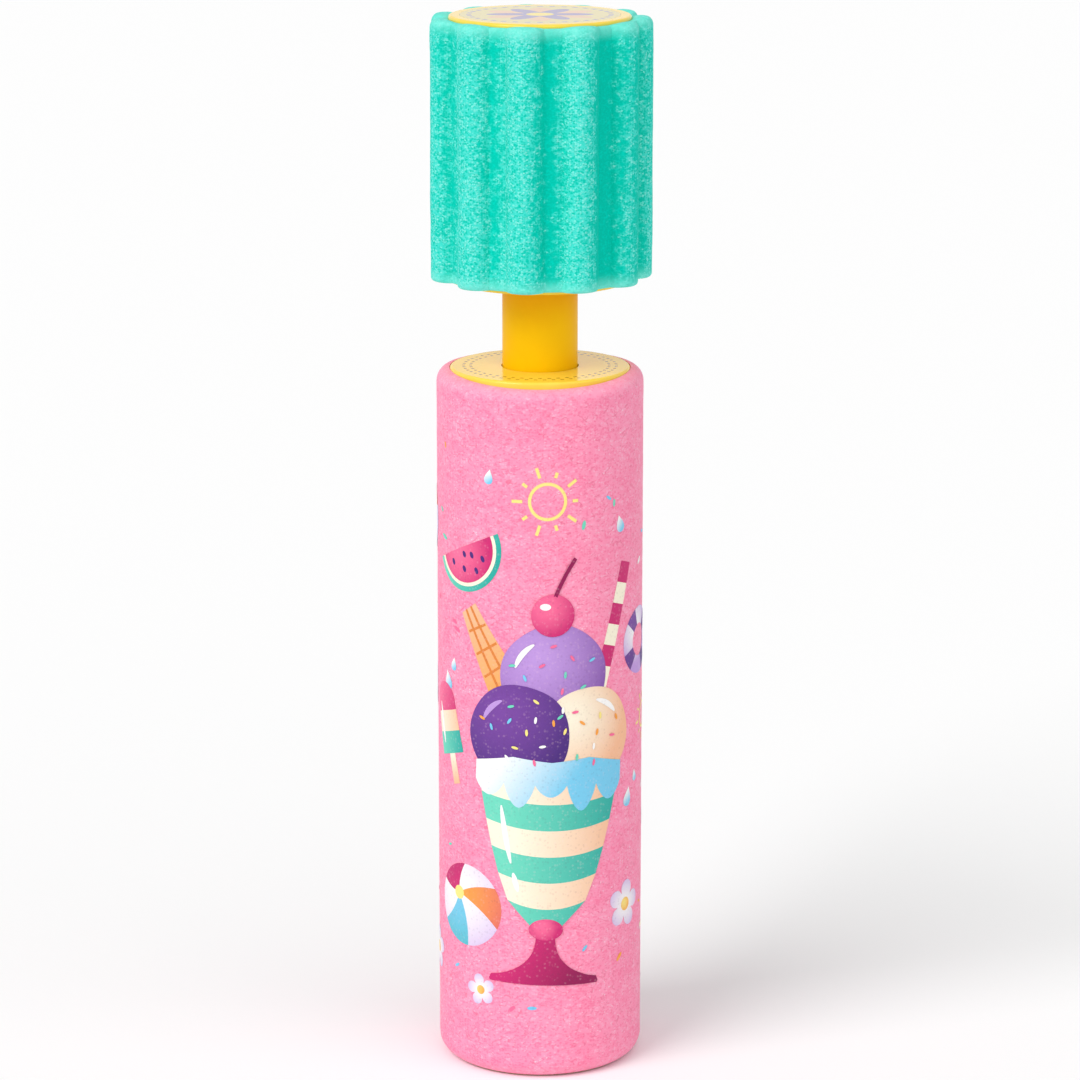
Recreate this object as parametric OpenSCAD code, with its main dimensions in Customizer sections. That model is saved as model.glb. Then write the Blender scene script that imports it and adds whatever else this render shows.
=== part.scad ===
// Pump-action water squirter: a foam-covered barrel with a nozzle at one end,
// and a sliding plunger with a fluted foam handle at the other.
// Millimetres, +Z up. The squirter stands on its nozzle end, and the origin is
// the centre of that end face. The plunger is drawn partly pulled out.

/* [Barrel] */
// Length of the barrel over both of its cap flanges
barrel_len = 191; // [120:1:400]
// Outside diameter of the tube in the barrel and in the handle
tube_d = 40; // [36:0.5:44]
// Wall of that tube
tube_wall = 1.6; // [1:0.1:2.4]
// Thickness of the barrel foam, from the outside of its tube
barrel_foam_t = 7.5; // [6:0.5:15]
// Rounding of the barrel foam's edge at the nozzle end
nozzle_end_round = 5; // [1:0.5:6]
// Rounding of the barrel foam's edge at the rear end
rear_end_round = 3.5; // [1:0.5:6]

/* [Caps] */
// Reach of every cap's flange past the outside of its tube
flange_reach = 4; // [2.5:0.25:5]
// Thickness of every cap's flange
flange_t = 2.4; // [1.8:0.1:4]
// Rounding of the flange's outer edge
flange_round = 0.8; // [0.2:0.1:1.6]
// Length of the spigot that each cap pushes into its tube
spigot_len = 14; // [9:0.5:24]
// Wall of a plain spigot
spigot_wall = 2; // [1.2:0.1:3.5]
// Wall of the sleeve that holds the rod in a cap
sleeve_wall = 2; // [1.2:0.1:3]
// Height of the rear flange above the end of the barrel foam
rear_flange_proud = 1.5; // [0:0.1:1.7]
// Reach of the handle's flanges beyond the ends of the handle foam
handle_flange_proud = 1; // [0:0.1:1.7]

/* [Nozzle] */
// Diameter of the water outlet
outlet_d = 5; // [4.2:0.1:7]
// Straight length of the water outlet
outlet_len = 6; // [3:0.5:8]
// Diameter of the funnel that leads into the outlet
funnel_d = 11; // [8:0.5:13]
// Diameter of the nozzle insert where it sits in its cap
insert_d = 14; // [12:0.5:17]
// Depth of the insert's seat in its cap, from the outer face
insert_seat = 12; // [9.5:0.5:13]
// Depth of the insert's outer face below the cap's outer face
insert_recess = 0.6; // [0.2:0.1:1.5]
// Thickness of the shoulder that keeps the insert in
insert_shoulder = 2; // [1:0.1:3]
// Wall of the boss around the insert
boss_wall = 2; // [1.2:0.1:3]
// Wall of the nozzle cap's spigot, which carries a seal groove
grooved_spigot_wall = 3.6; // [3.2:0.1:4]
// Thickness of the seal ring on the nozzle cap
cap_seal_cord = 2; // [1.5:0.1:2.4]
// Distance of that seal from the flange
cap_seal_z = 7; // [3:0.5:8]

/* [Plunger] */
// Outside diameter of the rod
rod_d = 20; // [16:0.5:23]
// Wall of the rod
rod_wall = 1.6; // [1:0.1:3]
// Length of the piston head
piston_len = 18; // [15:0.5:40]
// Thickness of the piston's front wall
piston_web = 5; // [3:0.5:8]
// Thickness of each piston ring
piston_ring_cord = 3; // [2:0.1:3.6]
// Distance of each piston ring from its end of the piston
piston_ring_inset = 4.5; // [3:0.5:6]
// Length of the plug at each end of the rod
rod_plug_len = 14; // [8:0.5:30]
// Wall of those plugs, which are hollow
rod_plug_wall = 2; // [1.2:0.1:4]
// Gap between the handle and the barrel as the plunger is drawn
handle_gap = 23; // [5:1:60]
// Water left in front of the piston when the handle is pushed home
front_stop_gap = 1.5; // [0.5:0.1:5]

/* [Handle] */
// Length of the handle over both of its cap flanges
handle_len = 70; // [50:1:120]
// Thickness of the handle foam at its flutes, from the outside of its tube
handle_foam_t = 9.6; // [8.6:0.2:16]
// Number of flutes round the handle foam
flute_count = 11; // [8:1:14]
// Depth of the valleys between the flutes
flute_depth = 3.8; // [1:0.1:4]
// Radius of each flute's crest
flute_crest = 5; // [4:0.1:7]
// Turn of the flutes about the axis
flute_turn = -0.5; // [-16:0.5:16]
// Rounding of the handle foam's edges
handle_end_round = 1.5; // [0.5:0.5:4]
// Distance of the handle's round label from the edge of its flange
label_margin = 3; // [2:0.5:10]
// Thickness of the label, which lies flush in its recess
label_t = 0.3; // [0.2:0.05:0.6]

/* [Fits] */
// Clearance per side between pieces that are pressed or glued together
press_gap = 0.05; // [0.02:0.01:0.15]
// Clearance per side between the rod and its guide
running_gap = 0.3; // [0.1:0.05:0.6]
// Clearance per side between the piston head and the tube
piston_gap = 0.4; // [0.2:0.05:0.8]
// Clearance between a seal ring and the faces beside it
seal_gap = 0.05; // [0.02:0.01:0.1]

/* [Hidden] */
$fn = 96;
trim = 0.01;

pink = [0.99, 0.63, 0.75];
teal = [0.18, 0.84, 0.76];
yellow = [0.94, 0.75, 0.10];
milky = [0.93, 0.93, 0.90];
black = [0.15, 0.15, 0.16];
cream = [0.96, 0.90, 0.72];

tube_r = tube_d / 2;
tube_ir = tube_r - tube_wall;
rod_r = rod_d / 2;
rod_ir = rod_r - rod_wall;
flange_r = tube_r + flange_reach;
barrel_foam_r = tube_r + barrel_foam_t;
handle_foam_r = tube_r + handle_foam_t;
label_r = flange_r - label_margin;
spigot_r = tube_ir - press_gap;
seat_r = flange_r + press_gap;
plug_r = rod_ir - press_gap;

insert_r = insert_d / 2;
shoulder_r = insert_r + boss_wall;
insert_top = insert_seat + insert_shoulder;

chamber_floor = max(flange_t + spigot_len, insert_top);
piston_z = chamber_floor + front_stop_gap + handle_gap;
piston_r = tube_ir - piston_gap;
piston_ring_zs = [piston_z + piston_ring_inset, piston_z + piston_len - piston_ring_inset];

handle_z = barrel_len + handle_gap;
handle_top_z = handle_z + handle_len;
handle_foam_z = handle_z + handle_flange_proud;
handle_foam_top_z = handle_top_z - handle_flange_proud;
rod_z = piston_z + piston_web;
rod_top_z = handle_top_z - flange_t;

// Profiles, drawn in the plane that is turned about the axis

// A plain block from radius r0 to r1 and from height z0 to z1
module block(r0, r1, z0, z1) {
    translate([r0, z0]) square([r1 - r0, z1 - z0]);
}

// What is cut away to round an outer corner at (r, z): end is 1 at the top, -1 at the foot
module corner_waste(r, z, rounding, end) {
    translate([r - rounding, z - end * rounding]) difference() {
        translate([0, end > 0 ? 0 : -rounding - trim]) square(rounding + trim);
        circle(rounding);
    }
}

// A sleeve of foam with rounded outer edges
module foam_profile(r0, r1, z0, z1, foot_round, top_round) {
    difference() {
        block(r0, r1, z0, z1);
        corner_waste(r1, z0, foot_round, -1);
        corner_waste(r1, z1, top_round, 1);
    }
}

// A flange with its spigot. The flange's inner face is at height 0, its outer face is up
module cap_profile(bore_r, wall) {
    difference() {
        block(bore_r, flange_r, 0, flange_t);
        corner_waste(flange_r, flange_t, flange_round, 1);
    }
    block(spigot_r - wall, spigot_r, -spigot_len, flange_t / 2);
}

// A round seal ring that fits inside the tube, at height z
module seal_ring(cord, z) {
    translate([0, 0, z]) rotate_extrude()
        translate([tube_ir - seal_gap - cord / 2, 0]) circle(cord / 2);
}

// The groove that such a ring lies in
module seal_groove_profile(cord, z, mouth_r) {
    half_width = cord / 2 + seal_gap;
    block(tube_ir - cord - 2 * seal_gap, mouth_r + trim, z - half_width, z + half_width);
}

// A cap with a sleeve for the rod, gap wider than the rod on each side
module rod_cap(gap) {
    rotate_extrude() {
        cap_profile(rod_r + gap, spigot_wall);
        block(rod_r + gap, rod_r + gap + sleeve_wall, -spigot_len, flange_t / 2);
    }
}

// The tube that is cut to length for the barrel and for the handle
module cut_tube(z0, z1) {
    translate([0, 0, z0]) difference() {
        cylinder(r = tube_r, h = z1 - z0);
        translate([0, 0, -trim]) cylinder(r = tube_ir, h = z1 - z0 + 2 * trim);
    }
}

// Barrel

module barrel_foam() {
    top_z = barrel_len - rear_flange_proud;
    color(pink) rotate_extrude() difference() {
        foam_profile(tube_r + press_gap, barrel_foam_r, 0, top_z, nozzle_end_round, rear_end_round);
        block(0, seat_r, -trim, flange_t);
        block(0, seat_r, barrel_len - flange_t, barrel_len);
    }
}

module barrel_tube() {
    color(milky) cut_tube(flange_t, barrel_len - flange_t);
}

module nozzle_cap() {
    color(yellow) translate([0, 0, flange_t]) mirror([0, 0, 1]) rotate_extrude() {
        difference() {
            cap_profile(insert_r + press_gap, grooved_spigot_wall);
            seal_groove_profile(cap_seal_cord, -cap_seal_z, spigot_r);
        }
        block(insert_r + press_gap, shoulder_r, flange_t - insert_seat, flange_t / 2);
    }
}

module nozzle_cap_seal() {
    color(black) seal_ring(cap_seal_cord, flange_t + cap_seal_z);
}

module nozzle_insert() {
    color(teal) rotate_extrude() polygon([
        [outlet_d / 2, insert_recess],
        [insert_r, insert_recess],
        [insert_r, insert_seat],
        [shoulder_r, insert_seat],
        [shoulder_r, insert_top],
        [funnel_d / 2, insert_top],
        [outlet_d / 2, insert_recess + outlet_len]
    ]);
}

module rear_cap() {
    color(yellow) translate([0, 0, barrel_len - flange_t]) rod_cap(running_gap);
}

// Plunger

module piston_head() {
    color(milky) rotate_extrude() {
        difference() {
            block(0, piston_r, piston_z, piston_z + piston_len);
            block(0, rod_r + press_gap, rod_z, piston_z + piston_len + trim);
            for (z = piston_ring_zs) seal_groove_profile(piston_ring_cord, z, piston_r);
        }
        block(plug_r - rod_plug_wall, plug_r, piston_z + piston_web / 2, rod_z + rod_plug_len);
    }
}

module piston_ring_front() {
    color(black) seal_ring(piston_ring_cord, piston_ring_zs[0]);
}

module piston_ring_rear() {
    color(black) seal_ring(piston_ring_cord, piston_ring_zs[1]);
}

module plunger_rod() {
    color(yellow) translate([0, 0, rod_z]) difference() {
        cylinder(r = rod_r, h = rod_top_z - rod_z);
        translate([0, 0, -trim]) cylinder(r = rod_ir, h = rod_top_z - rod_z + 2 * trim);
    }
}

// Handle

module handle_bottom_cap() {
    color(yellow) translate([0, 0, handle_z + flange_t]) mirror([0, 0, 1]) rod_cap(press_gap);
}

module handle_tube() {
    color(milky) cut_tube(handle_z + flange_t, handle_top_z - flange_t);
}

// The foam's outline: crests on a plain round core
module fluted_outline() {
    circle(handle_foam_r - flute_depth);
    for (k = [0 : flute_count - 1])
        rotate(flute_turn + k * 360 / flute_count)
            translate([handle_foam_r - flute_crest, 0]) circle(flute_crest);
}

module handle_foam() {
    color(teal) difference() {
        intersection() {
            translate([0, 0, handle_foam_z]) linear_extrude(handle_foam_top_z - handle_foam_z) fluted_outline();
            rotate_extrude() foam_profile(
                0, handle_foam_r, handle_foam_z, handle_foam_top_z, handle_end_round, handle_end_round);
        }
        translate([0, 0, handle_z]) cylinder(r = tube_r + press_gap, h = handle_len);
        translate([0, 0, handle_z - trim]) cylinder(r = seat_r, h = flange_t + trim);
        translate([0, 0, handle_top_z - flange_t]) cylinder(r = seat_r, h = flange_t);
    }
}

module handle_top_cap() {
    color(yellow) translate([0, 0, handle_top_z - flange_t]) rotate_extrude() {
        difference() {
            cap_profile(0, spigot_wall);
            block(0, label_r + press_gap, flange_t - label_t, flange_t + trim);
        }
        block(plug_r - rod_plug_wall, plug_r, -rod_plug_len, flange_t / 2);
    }
}

module handle_label() {
    color(cream) translate([0, 0, handle_top_z - label_t]) cylinder(r = label_r, h = label_t);
}

barrel_foam();
barrel_tube();
nozzle_cap();
nozzle_cap_seal();
nozzle_insert();
rear_cap();
piston_head();
piston_ring_front();
piston_ring_rear();
plunger_rod();
handle_bottom_cap();
handle_tube();
handle_foam();
handle_top_cap();
handle_label();
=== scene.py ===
import math
import random

import bpy
from mathutils import Matrix, Vector
from mathutils.geometry import delaunay_2d_cdt


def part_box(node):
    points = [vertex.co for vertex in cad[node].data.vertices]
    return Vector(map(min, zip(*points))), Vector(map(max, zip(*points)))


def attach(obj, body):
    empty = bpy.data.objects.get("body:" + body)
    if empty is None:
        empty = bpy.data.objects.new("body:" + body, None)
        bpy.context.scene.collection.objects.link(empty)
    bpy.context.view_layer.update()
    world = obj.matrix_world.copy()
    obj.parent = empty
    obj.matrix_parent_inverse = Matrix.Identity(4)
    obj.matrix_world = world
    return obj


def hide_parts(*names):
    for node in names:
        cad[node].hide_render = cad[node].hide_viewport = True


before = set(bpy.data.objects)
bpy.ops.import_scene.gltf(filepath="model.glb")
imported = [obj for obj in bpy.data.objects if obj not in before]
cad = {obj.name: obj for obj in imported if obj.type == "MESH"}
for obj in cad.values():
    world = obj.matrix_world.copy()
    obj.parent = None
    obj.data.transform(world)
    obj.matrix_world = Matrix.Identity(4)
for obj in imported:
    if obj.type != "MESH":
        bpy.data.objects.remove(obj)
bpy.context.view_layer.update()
mm = 0.001
degree = math.radians(1)
fullTurn = 2 * math.pi
noiseMiddle = 0.5
print("frame: loaded", len(cad), "solids")


# Node trees

class Wire:
    # an output socket whose arithmetic adds Math nodes to its tree
    def __init__(self, tree, socket):
        self.tree = tree
        self.socket = socket

    def __add__(self, other):
        return self.tree.maths("ADD", self, other)

    def __radd__(self, other):
        return self.tree.maths("ADD", other, self)

    def __sub__(self, other):
        return self.tree.maths("SUBTRACT", self, other)

    def __rsub__(self, other):
        return self.tree.maths("SUBTRACT", other, self)

    def __mul__(self, other):
        return self.tree.maths("MULTIPLY", self, other)

    def __rmul__(self, other):
        return self.tree.maths("MULTIPLY", other, self)

    def __truediv__(self, other):
        return self.tree.maths("DIVIDE", self, other)

    def __rtruediv__(self, other):
        return self.tree.maths("DIVIDE", other, self)


class Tree:
    # the nodes of a material, a modifier or the world
    def __init__(self, nodeTree):
        self.data = nodeTree

    def add(self, kind, settings=None, sockets=None, out=0):
        node = self.data.nodes.new(kind)
        for name, value in (settings or {}).items():
            setattr(node, name, value)
        for name, value in (sockets or {}).items():
            self.feed(node.inputs[name], value)
        return Wire(self, node.outputs[out]) if len(node.outputs) else None

    def feed(self, socket, value):
        if isinstance(value, Wire):
            self.data.links.new(value.socket, socket)
        else:
            socket.default_value = value

    def maths(self, operation, *values):
        return self.add("ShaderNodeMath", {"operation": operation}, dict(enumerate(values)))

    def mix(self, share, first, second):  # a Mix node's colours are its inputs 6 and 7, output 2
        return self.add("ShaderNodeMix", {"data_type": "RGBA"},
                        {0: share, 6: first, 7: second}, out=2)

    def ease(self, value, low, high):  # 0 below low, 1 above high, smooth between
        return self.add("ShaderNodeMapRange", {"interpolation_type": "SMOOTHSTEP"},
                        {"Value": value, "From Min": low, "From Max": high})

    def fade(self, value, low, high):  # 1 below low, 0 above high
        return 1 - self.ease(value, low, high)

    def noise(self, place, grain, detail=2.0):  # grain is the size of one patch, in metres
        return self.add("ShaderNodeTexNoise", {},
                        {"Vector": place, "Scale": 1 / grain, "Detail": detail})

    def ripple(self, place, grain):  # noise from -1 to 1
        return (self.noise(place, grain) - noiseMiddle) * 2

    def cells(self, place, grain):  # distance to a cell's middle, and the cell's random number
        distance = self.add("ShaderNodeTexVoronoi", {}, {"Vector": place, "Scale": 1 / grain})
        colour = Wire(self, distance.socket.node.outputs["Color"])
        return distance, self.add("ShaderNodeSeparateColor", {}, {0: colour}, out="Red")

    def stretch(self, place, factor):  # packs a pattern closer along Z, or draws it out
        return self.add("ShaderNodeVectorMath", {"operation": "MULTIPLY"},
                        {0: place, 1: (1, 1, factor)})

    def attribute(self, name, out="Fac"):
        return self.add("ShaderNodeAttribute", {"attribute_name": name}, out=out)

    def bump(self, strength, depth, height):
        return self.add("ShaderNodeBump", {},
                        {"Strength": strength, "Distance": depth * mm, "Height": height})

    def axes(self, place):
        node = self.add("ShaderNodeSeparateXYZ", {}, {0: place}).socket.node
        return [Wire(self, node.outputs[axis]) for axis in "XYZ"]

    def polar(self, x, y):  # distance from the Z axis, and angle round it
        return self.maths("SQRT", x * x + y * y), self.maths("ARCTAN2", y, x)


def linear(red, green, blue):  # a screen colour through the sRGB curve
    def straight(level):
        level /= 255
        return level / 12.92 if level <= 0.04045 else ((level + 0.055) / 1.055) ** 2.4

    return straight(red), straight(green), straight(blue), 1.0


def newFinish(name):
    material = bpy.data.materials.new(name)
    material.use_nodes = True
    tree = Tree(material.node_tree)
    place = tree.add("ShaderNodeTexCoord", out="Object")
    return material, tree, place


def setFinish(tree, values):
    shader = tree.data.nodes["Principled BSDF"]
    for name, value in values.items():
        tree.feed(shader.inputs[name], value)


# Foam

foamCells = {  # what both foams share; a span is how fast a colour comes in, a rim a cell's edge
    "paleSpan": 0.35, "deepSpan": 0.3, "glintSpan": 0.08, "pitSpan": 0.1, "shadeSpan": 0.3,
    "paleRim": (0.35, 0.75), "deepRim": (0.4, 0.85), "glintRim": (0.25, 0.55),
    "pitRim": (0.35, 0.7), "glintField": 0.7, "creaseWidth": (0.01, 0.06),
    "creasePatch": (0.5, 0.66), "creaseLuck": 0.3, "edgeLeast": 0.45, "edgeClump": 0.9,
    "cellHeight": 0.6, "clumpHeight": 0.8, "paleHeight": 0.3, "depth": 0.3,
    "rough": 0.62, "paleShine": 0.16, "glintShine": 0.2, "sheenRough": 0.35}


def foamFinish(name, look, cells):
    material, tree, place = newFinish(name)
    drawn = tree.stretch(place, look["drawOut"])
    place = tree.stretch(place, look["flatten"])
    cloud = tree.noise(place, look["cloud"] * mm)
    clump = tree.noise(place, look["clump"] * mm, detail=3)
    streak = tree.noise(drawn, look["streak"] * mm)  # runs along the sleeve, as the foam was drawn
    fray = (clump - noiseMiddle) * look["ragged"] + (streak - noiseMiddle) * look["streaking"]
    # crest brings in painted light and shade where cresting is set: paler on lit crests, darker in
    # the shaded valleys and on the side away from the light
    crest = tree.ease(tree.attribute("crest") + fray, look["crestFrom"], look["crestFull"])
    nearCell, cellLuck = tree.cells(place, look["cell"] * mm)
    nearGlint, glintLuck = tree.cells(place, look["glint"] * mm)
    field = ((cloud - noiseMiddle) * look["clouding"] + (clump - noiseMiddle) * look["clumping"]
             + (crest - 1) * look["cresting"])
    lit = cellLuck + field

    # cells lighter or darker than the rest, bright specks that are painted glints, and small pits
    pale = tree.ease(lit, look["paleFrom"], look["paleFrom"] + cells["paleSpan"])
    pale = pale * tree.fade(nearCell, *cells["paleRim"])
    deep = tree.fade(lit, look["deepTo"] - cells["deepSpan"], look["deepTo"])
    deep = deep * tree.fade(nearCell, *cells["deepRim"])
    glint = tree.ease(glintLuck + field * cells["glintField"],
                      look["glintFrom"], look["glintFrom"] + cells["glintSpan"])
    glint = glint * tree.fade(nearGlint, *cells["glintRim"])
    pit = tree.fade(glintLuck, look["pitTo"] - cells["pitSpan"], look["pitTo"])
    pit = pit * tree.fade(nearGlint, *cells["pitRim"])
    shade = tree.ease(field, look["shadeAt"] - cells["shadeSpan"],
                      look["shadeAt"] + cells["shadeSpan"])
    colour = tree.mix(shade, look["shade"], look["body"])
    colour = tree.mix(deep * look["deepShare"], colour, look["deep"])
    colour = tree.mix(pale * look["paleShare"], colour, look["pale"])
    colour = tree.mix(pit * look["pitShare"], colour, look["deep"])
    colour = tree.mix(glint * look["glintShare"], colour, look["white"])

    # fine creases in patches, and ends made paler, partly the cut foam's own look and partly a
    # painted highlight on their rounded edges
    ridge = tree.maths("ABSOLUTE", tree.noise(place, look["crease"] * mm, detail=1) - noiseMiddle)
    patch = clump + (cellLuck - noiseMiddle) * cells["creaseLuck"]
    crease = tree.fade(ridge, *cells["creaseWidth"]) * tree.ease(patch, *cells["creasePatch"])
    colour = tree.mix(crease * look["creaseShare"], colour, look["creased"])
    paleEnds = tree.attribute("edge") * (cells["edgeLeast"] + clump * cells["edgeClump"])
    colour = tree.mix(paleEnds * look["edgeShare"], colour, look["edge"])
    height = ((1 - nearCell) * cells["cellHeight"] + clump * cells["clumpHeight"]
              + pale * cells["paleHeight"])
    rough = cells["rough"] - pale * cells["paleShine"] - glint * cells["glintShine"]
    setFinish(tree, {"Base Color": colour, "Roughness": rough,
                     "Normal": tree.bump(look["bump"], cells["depth"], height),
                     "Specular IOR Level": look["specular"], "Sheen Weight": look["sheen"],
                     "Sheen Roughness": cells["sheenRough"], "Sheen Tint": look["white"]})
    return material


pinkFoamLook = {
    "body": linear(255, 158, 190), "shade": linear(254, 146, 181), "pale": linear(255, 186, 211),
    "deep": linear(246, 110, 152), "white": linear(255, 226, 236), "edge": linear(255, 178, 202),
    "creased": linear(232, 84, 128), "flatten": 1.4, "drawOut": 0.1, "streak": 3.0, "cloud": 8,
    "clump": 2.3, "cell": 0.68, "glint": 0.62, "crease": 3.0, "clumping": 0.9, "clouding": 0.55,
    "streaking": 0.0, "cresting": 0.0, "crestFrom": 0.0, "crestFull": 0.5, "ragged": 0.0,
    "paleFrom": 0.6, "deepTo": 0.4, "shadeAt": 0.0, "paleShare": 0.62, "deepShare": 0.58,
    "glintFrom": 0.98, "glintShare": 0.6, "pitTo": 0.14, "pitShare": 0.4, "creaseShare": 0.6,
    "edgeShare": 0.45, "bump": 0.28, "specular": 0.2, "sheen": 0.06}
tealFoamLook = {
    "body": linear(68, 221, 205), "shade": linear(0, 211, 190), "pale": linear(126, 234, 221),
    "deep": linear(0, 198, 175), "white": linear(168, 246, 237), "edge": linear(128, 235, 219),
    "creased": linear(0, 190, 166), "flatten": 1.3, "drawOut": 0.07, "streak": 2.6, "cloud": 7,
    "clump": 2.0, "cell": 0.66, "glint": 0.58, "crease": 2.2, "clumping": 1.05, "clouding": 0.5,
    "streaking": 0.7, "cresting": 1.0, "crestFrom": -0.34, "crestFull": 0.8, "ragged": 0.8,
    "paleFrom": 0.38, "deepTo": 0.4, "shadeAt": -0.42, "paleShare": 0.95, "deepShare": 0.95,
    "glintFrom": 0.96, "glintShare": 0.7, "pitTo": 0.32, "pitShare": 0.85, "creaseShare": 0.35,
    "edgeShare": 0.8, "bump": 0.45, "specular": 0.03, "sheen": 0.08}

pinkFoam = foamFinish("pinkFoam", pinkFoamLook, foamCells)
tealFoam = foamFinish("tealFoam", tealFoamLook, foamCells)


# Ink on the foam, which shows the cells through it

inkLook = {"deep": linear(96, 52, 92), "pale": linear(255, 214, 226), "clump": 2.3, "cell": 0.68,
           "clumping": 0.9, "dotRim": (0.3, 0.65), "deepAt": (0.05, 0.3), "paleAt": (0.7, 0.95),
           "deepShare": 0.12, "paleShare": 0.11, "bump": 0.2, "rough": 0.5, "dotShine": 0.08,
           "specular": 0.2}


def printFinish(name, look, cells):
    material, tree, place = newFinish(name)
    clump = tree.noise(place, look["clump"] * mm, detail=3)
    nearCell, cellLuck = tree.cells(place, look["cell"] * mm)
    lit = cellLuck + (clump - noiseMiddle) * look["clumping"]
    dot = tree.fade(nearCell, *look["dotRim"])
    colour = tree.attribute("ink", out="Color")
    deep = tree.fade(lit, *look["deepAt"]) * dot
    colour = tree.mix(deep * look["deepShare"], colour, look["deep"])
    pale = tree.ease(lit, *look["paleAt"]) * dot
    colour = tree.mix(pale * look["paleShare"], colour, look["pale"])
    height = (1 - nearCell) * cells["cellHeight"] + clump * cells["clumpHeight"]
    setFinish(tree, {"Base Color": colour, "Roughness": look["rough"] - dot * look["dotShine"],
                     "Normal": tree.bump(look["bump"], cells["depth"], height),
                     "Specular IOR Level": look["specular"]})
    return material


foamInk = printFinish("foamInk", inkLook, foamCells)


# Moulded plastic and rubber

plasticGrain = {"cloudAt": (0.3, 0.7), "scuffAt": (0.5, 0.8), "scuffHeight": 0.3, "depth": 0.1,
                "ringBand": (0.25, 0.5), "ringDot": (0.1, 0.5), "ior": 1.5}


def glossFinish(name, look, grain):
    material, tree, place = newFinish(name)
    cloud = tree.noise(place, look["cloud"] * mm, detail=3)
    scuff = tree.noise(place, look["scuff"] * mm, detail=4)
    colour = tree.mix(tree.ease(cloud, *grain["cloudAt"]), look["shade"], look["body"])
    if "paintedShade" in look:  # painted shade: darker up by the handle, where the handle shades the rod
        along = tree.axes(place)[2] / mm
        paintedShadeShare = tree.ease(along, look["paintedShadeFrom"], look["paintedShadeFull"])
        colour = tree.mix(paintedShadeShare, colour, look["paintedShade"])
    if "rings" in look:  # dots printed round the axis
        reach, angle = tree.polar(*tree.axes(place)[:2])
        for middle, count in look["rings"]:
            away = tree.maths("ABSOLUTE", reach / mm - middle)
            dots = tree.ease(tree.maths("COSINE", angle * count), *grain["ringDot"])
            colour = tree.mix(tree.fade(away, *grain["ringBand"]) * dots, colour, look["ringInk"])
    rough = look["rough"] + tree.ease(scuff, *grain["scuffAt"]) * look["scuffing"]
    height = cloud + scuff * grain["scuffHeight"]
    setFinish(tree, {"Base Color": colour, "Roughness": rough, "IOR": grain["ior"],
                     "Normal": tree.bump(look["bump"], grain["depth"], height),
                     "Specular IOR Level": look["specular"]})
    return material


yellowLook = {"body": linear(251, 216, 80), "shade": linear(249, 210, 70), "cloud": 9,
              "scuff": 1.4, "rough": 0.15, "scuffing": 0.10, "bump": 0.05, "specular": 0.27}
printedLook = {**yellowLook, "rings": ((18.4, 48), (20.3, 54)), "ringInk": linear(128, 82, 14)}
# the rod's last three entries are painted shade under the handle
rodLook = {"body": linear(255, 204, 0), "shade": linear(253, 197, 0), "cloud": 14,
           "scuff": 1.1, "rough": 0.42, "scuffing": 0.12, "bump": 0.06, "specular": 0.08,
           "paintedShade": linear(232, 168, 0), "paintedShadeFrom": 202, "paintedShadeFull": 215}
milkyLook = {"body": linear(240, 239, 232), "shade": linear(230, 229, 221), "cloud": 12,
             "scuff": 1.5, "rough": 0.38, "scuffing": 0.15, "bump": 0.05, "specular": 0.5}
tealLook = {"body": linear(40, 205, 188), "shade": linear(32, 196, 179), "cloud": 6,
            "scuff": 1.2, "rough": 0.20, "scuffing": 0.12, "bump": 0.05, "specular": 0.5}
rubberLook = {"body": linear(46, 46, 48), "shade": linear(36, 36, 38), "cloud": 4,
              "scuff": 0.8, "rough": 0.55, "scuffing": 0.20, "bump": 0.15, "specular": 0.5}

yellowGloss = glossFinish("yellowGloss", yellowLook, plasticGrain)
yellowPrinted = glossFinish("yellowPrinted", printedLook, plasticGrain)
yellowRod = glossFinish("yellowRod", rodLook, plasticGrain)
milkyPlastic = glossFinish("milkyPlastic", milkyLook, plasticGrain)
tealPlastic = glossFinish("tealPlastic", tealLook, plasticGrain)
sealRubber = glossFinish("sealRubber", rubberLook, plasticGrain)


# Label on the handle's end, a rosette in a ring of dots

labelLook = {"ground": linear(222, 208, 146), "petal": linear(146, 136, 180),
             "leaf": linear(230, 188, 152), "heart": linear(246, 222, 104), "petals": 6,
             "petalReach": 9.5, "petalSwing": 4.5, "leafReach": 11.5, "leafSwing": 4,
             "heartReach": 3.6, "soft": 0.2, "dots": 36, "dotReach": 18.6, "dotBand": (0.5, 0.8),
             "dotAt": (0.0, 0.3), "grain": 0.6, "graining": 0.1, "rough": 0.18, "ior": 1.5,
             "specular": 0.33}


def labelFinish(name, look):
    material, tree, place = newFinish(name)
    reach, angle = tree.polar(*tree.axes(place)[:2])
    reach = reach / mm
    petals = tree.maths("COSINE", angle * look["petals"])
    leaves = tree.maths("COSINE", angle * look["petals"] + math.pi)
    dots = tree.maths("COSINE", angle * look["dots"])
    colour = look["ground"]
    for edge, ink in ((look["leafReach"] + leaves * look["leafSwing"], "leaf"),
                      (look["petalReach"] + petals * look["petalSwing"], "petal"),
                      (look["heartReach"], "heart")):
        colour = tree.mix(tree.ease(edge - reach, -look["soft"], look["soft"]), colour, look[ink])
    band = tree.fade(tree.maths("ABSOLUTE", reach - look["dotReach"]), *look["dotBand"])
    colour = tree.mix(band * tree.ease(dots, *look["dotAt"]), colour, look["petal"])
    grain = tree.noise(place, look["grain"] * mm)
    setFinish(tree, {"Base Color": colour, "Roughness": look["rough"] + grain * look["graining"],
                     "IOR": look["ior"], "Specular IOR Level": look["specular"]})
    return material


labelFilm = labelFinish("labelFilm", labelLook)

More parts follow.
